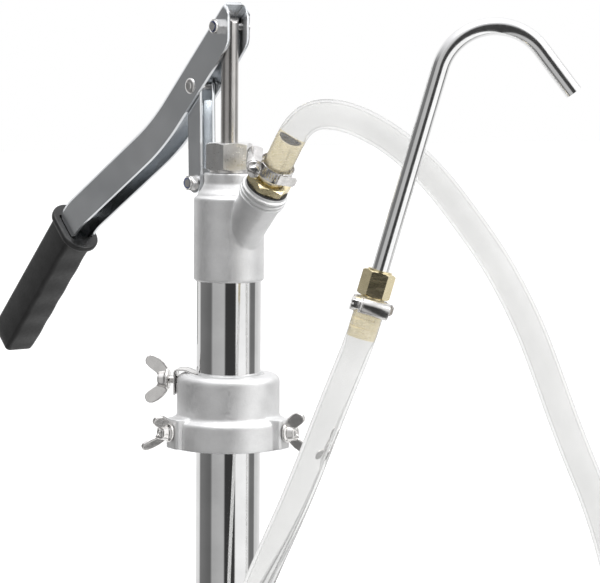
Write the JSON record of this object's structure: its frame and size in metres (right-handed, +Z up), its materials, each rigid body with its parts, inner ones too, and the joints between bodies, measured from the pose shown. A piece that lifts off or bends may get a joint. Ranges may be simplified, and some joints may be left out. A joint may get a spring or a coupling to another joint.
{
  "type": "drum pump",
  "caption": "Hand-lever piston pump for gear oil, with bung adapter, suction tube, delivery hose and hooked spout.",
  "frame": {"origin": "on the pump axis, in the plane of the drum's top, from which the bung's neck rises into the adapter", "axes": "+Z up along the suction tube and rod; -X towards the hand lever; +X towards the outlet and hose; +Y completes the right hand"},
  "size_m": [0.5747, 0.2128, 0.9236],
  "materials": {
    "cast_aluminium": "as-cast, bead-blasted grey aluminium",
    "tube_steel": "bright zinc-plated steel, mirror-like",
    "rod_steel": "ground steel, fine lines along the rod",
    "spout_steel": "bright plated steel",
    "zinc_sheet": "blue-white zinc plate, satin",
    "zinc_hardware": "bright zinc plate",
    "wing_zinc": "bright zinc plate, slightly rough",
    "gland_steel": "machined steel, matt",
    "clamp_steel": "rolled stainless strip",
    "brass": "machined brass",
    "seal_rubber": "black nitrile rubber",
    "packing_cord": "graphited braided cord",
    "cup_leather": "oiled leather",
    "grip_plastic": "black moulded plastic, satin",
    "hose_pvc": "clear, slightly milky soft PVC"
  },
  "bodies": {
    "adapter": {"adapter_casting": "cast_aluminium", "collar_shoe": "zinc_sheet"},
    "pump": {"suction_tube": "tube_steel", "pump_head": "cast_aluminium", "tube_gasket": "seal_rubber", "guide_bush": "brass", "gland_packing": "packing_cord", "gland_follower": "brass", "gland_nut": "gland_steel", "link_bolt": "zinc_hardware", "link_nut": "zinc_hardware", "link_washers": "zinc_hardware", "outlet_fitting": "brass", "outlet_gasket": "seal_rubber", "outlet_clamp_band": "clamp_steel", "delivery_hose": "hose_pvc", "nozzle_clamp_band": "clamp_steel", "spout_tail": "brass", "spout_nut": "brass", "spout_tube": "spout_steel", "foot_valve_body": "brass", "foot_valve_pin": "zinc_hardware", "strainer": "zinc_hardware"},
    "rod": {"piston_rod": "rod_steel", "piston_stop_ring": "zinc_hardware", "piston_body": "brass", "piston_cup": "cup_leather", "piston_plate": "zinc_hardware", "piston_nut": "zinc_hardware"},
    "lever": {"lever_channel": "zinc_sheet", "grip": "grip_plastic", "pivot_bolt": "zinc_hardware", "pivot_nut": "zinc_hardware", "rivet_heads": "zinc_hardware"},
    "link": {"swing_link": "zinc_sheet", "link_pin": "zinc_hardware"},
    "piston_disc": {"piston_valve_disc": "seal_rubber"},
    "foot_disc": {"foot_valve_disc": "seal_rubber"},
    "outlet_worm": {"outlet_clamp_screw": "clamp_steel"},
    "nozzle_worm": {"nozzle_clamp_screw": "clamp_steel"},
    "collar_screw": {"collar_stud": "zinc_hardware"},
    "collar_handle": {"collar_wing": "wing_zinc"},
    "bung_screw_1": {"bung_stud_1": "zinc_hardware"},
    "bung_handle_1": {"bung_wing_1": "wing_zinc"},
    "bung_screw_2": {"bung_stud_2": "zinc_hardware"},
    "bung_handle_2": {"bung_wing_2": "wing_zinc"},
    "bung_screw_3": {"bung_stud_3": "zinc_hardware"},
    "bung_handle_3": {"bung_wing_3": "wing_zinc"}
  },
  "joints": [
    {"name": "tube_slide", "type": "slide", "parent": "adapter", "child": "pump", "axis": [0, 0, 1], "range_m": [-0.058, 0.4]},
    {"name": "rod_slide", "type": "slide", "parent": "pump", "child": "rod", "axis": [0, 0, 1], "range_m": [-0.064, 0]},
    {"name": "lever_swing", "type": "hinge", "parent": "rod", "child": "lever", "pos_m": [0, 0, 0.297], "axis": [0, 1, 0], "range_deg": [0, 74.5]},
    {"name": "link_swing", "type": "hinge", "parent": "pump", "child": "link", "pos_m": [-0.032, 0, 0.188], "axis": [0, 1, 0], "range_deg": [-12.5, 0]},
    {"name": "piston_valve_lift", "type": "slide", "parent": "rod", "child": "piston_disc", "axis": [0, 0, 1], "range_m": [0, 0.004]},
    {"name": "foot_valve_lift", "type": "slide", "parent": "pump", "child": "foot_disc", "axis": [0, 0, 1], "range_m": [0, 0.005]},
    {"name": "outlet_worm_turn", "type": "hinge", "parent": "pump", "child": "outlet_worm", "pos_m": [0.04589, -0.01317, 0.20625], "axis": [0.6627, -0.5446, -0.514], "continuous": true},
    {"name": "nozzle_worm_turn", "type": "hinge", "parent": "pump", "child": "nozzle_worm", "pos_m": [0.16803, -0.01044, 0.11607], "axis": [0.5489, 0.79, -0.2733], "continuous": true},
    {"name": "bung_screw_travel_1", "type": "slide", "parent": "adapter", "child": "bung_screw_1", "axis": [-0.1219, -0.9925, 0], "range_m": [0, 0.006]},
    {"name": "bung_screw_turn_1", "type": "hinge", "parent": "bung_screw_1", "child": "bung_handle_1", "pos_m": [0, 0, 0.018], "axis": [-0.1219, -0.9925, 0], "range_deg": [0, 2160.5]},
    {"name": "bung_screw_travel_2", "type": "slide", "parent": "adapter", "child": "bung_screw_2", "axis": [0.9205, 0.3907, 0], "range_m": [0, 0.006]},
    {"name": "bung_screw_turn_2", "type": "hinge", "parent": "bung_screw_2", "child": "bung_handle_2", "pos_m": [0, 0, 0.018], "axis": [0.9205, 0.3907, 0], "range_deg": [0, 2160.5]},
    {"name": "bung_screw_travel_3", "type": "slide", "parent": "adapter", "child": "bung_screw_3", "axis": [-0.7986, 0.6018, 0], "range_m": [0, 0.006]},
    {"name": "bung_screw_turn_3", "type": "hinge", "parent": "bung_screw_3", "child": "bung_handle_3", "pos_m": [0, 0, 0.018], "axis": [-0.7986, 0.6018, 0], "range_deg": [0, 2160.5]},
    {"name": "collar_screw_travel", "type": "slide", "parent": "adapter", "child": "collar_screw", "axis": [-0.7314, -0.682, 0], "range_m": [0, 0.003]},
    {"name": "collar_screw_turn", "type": "hinge", "parent": "collar_screw", "child": "collar_handle", "pos_m": [0, 0, 0.0505], "axis": [-0.7314, -0.682, 0], "range_deg": [0, 1080.5]}
  ],
  "couplings": [
    {"joint": "rod_slide", "follows": "lever_swing", "m_per_rad": -0.0492},
    {"joint": "link_swing", "follows": "lever_swing", "ratio": -0.1675},
    {"joint": "bung_screw_turn_1", "follows": "bung_screw_travel_1", "rad_per_m": 6283.2},
    {"joint": "bung_screw_turn_2", "follows": "bung_screw_travel_2", "rad_per_m": 6283.2},
    {"joint": "bung_screw_turn_3", "follows": "bung_screw_travel_3", "rad_per_m": 6283.2},
    {"joint": "collar_screw_turn", "follows": "collar_screw_travel", "rad_per_m": 6283.2}
  ]
}
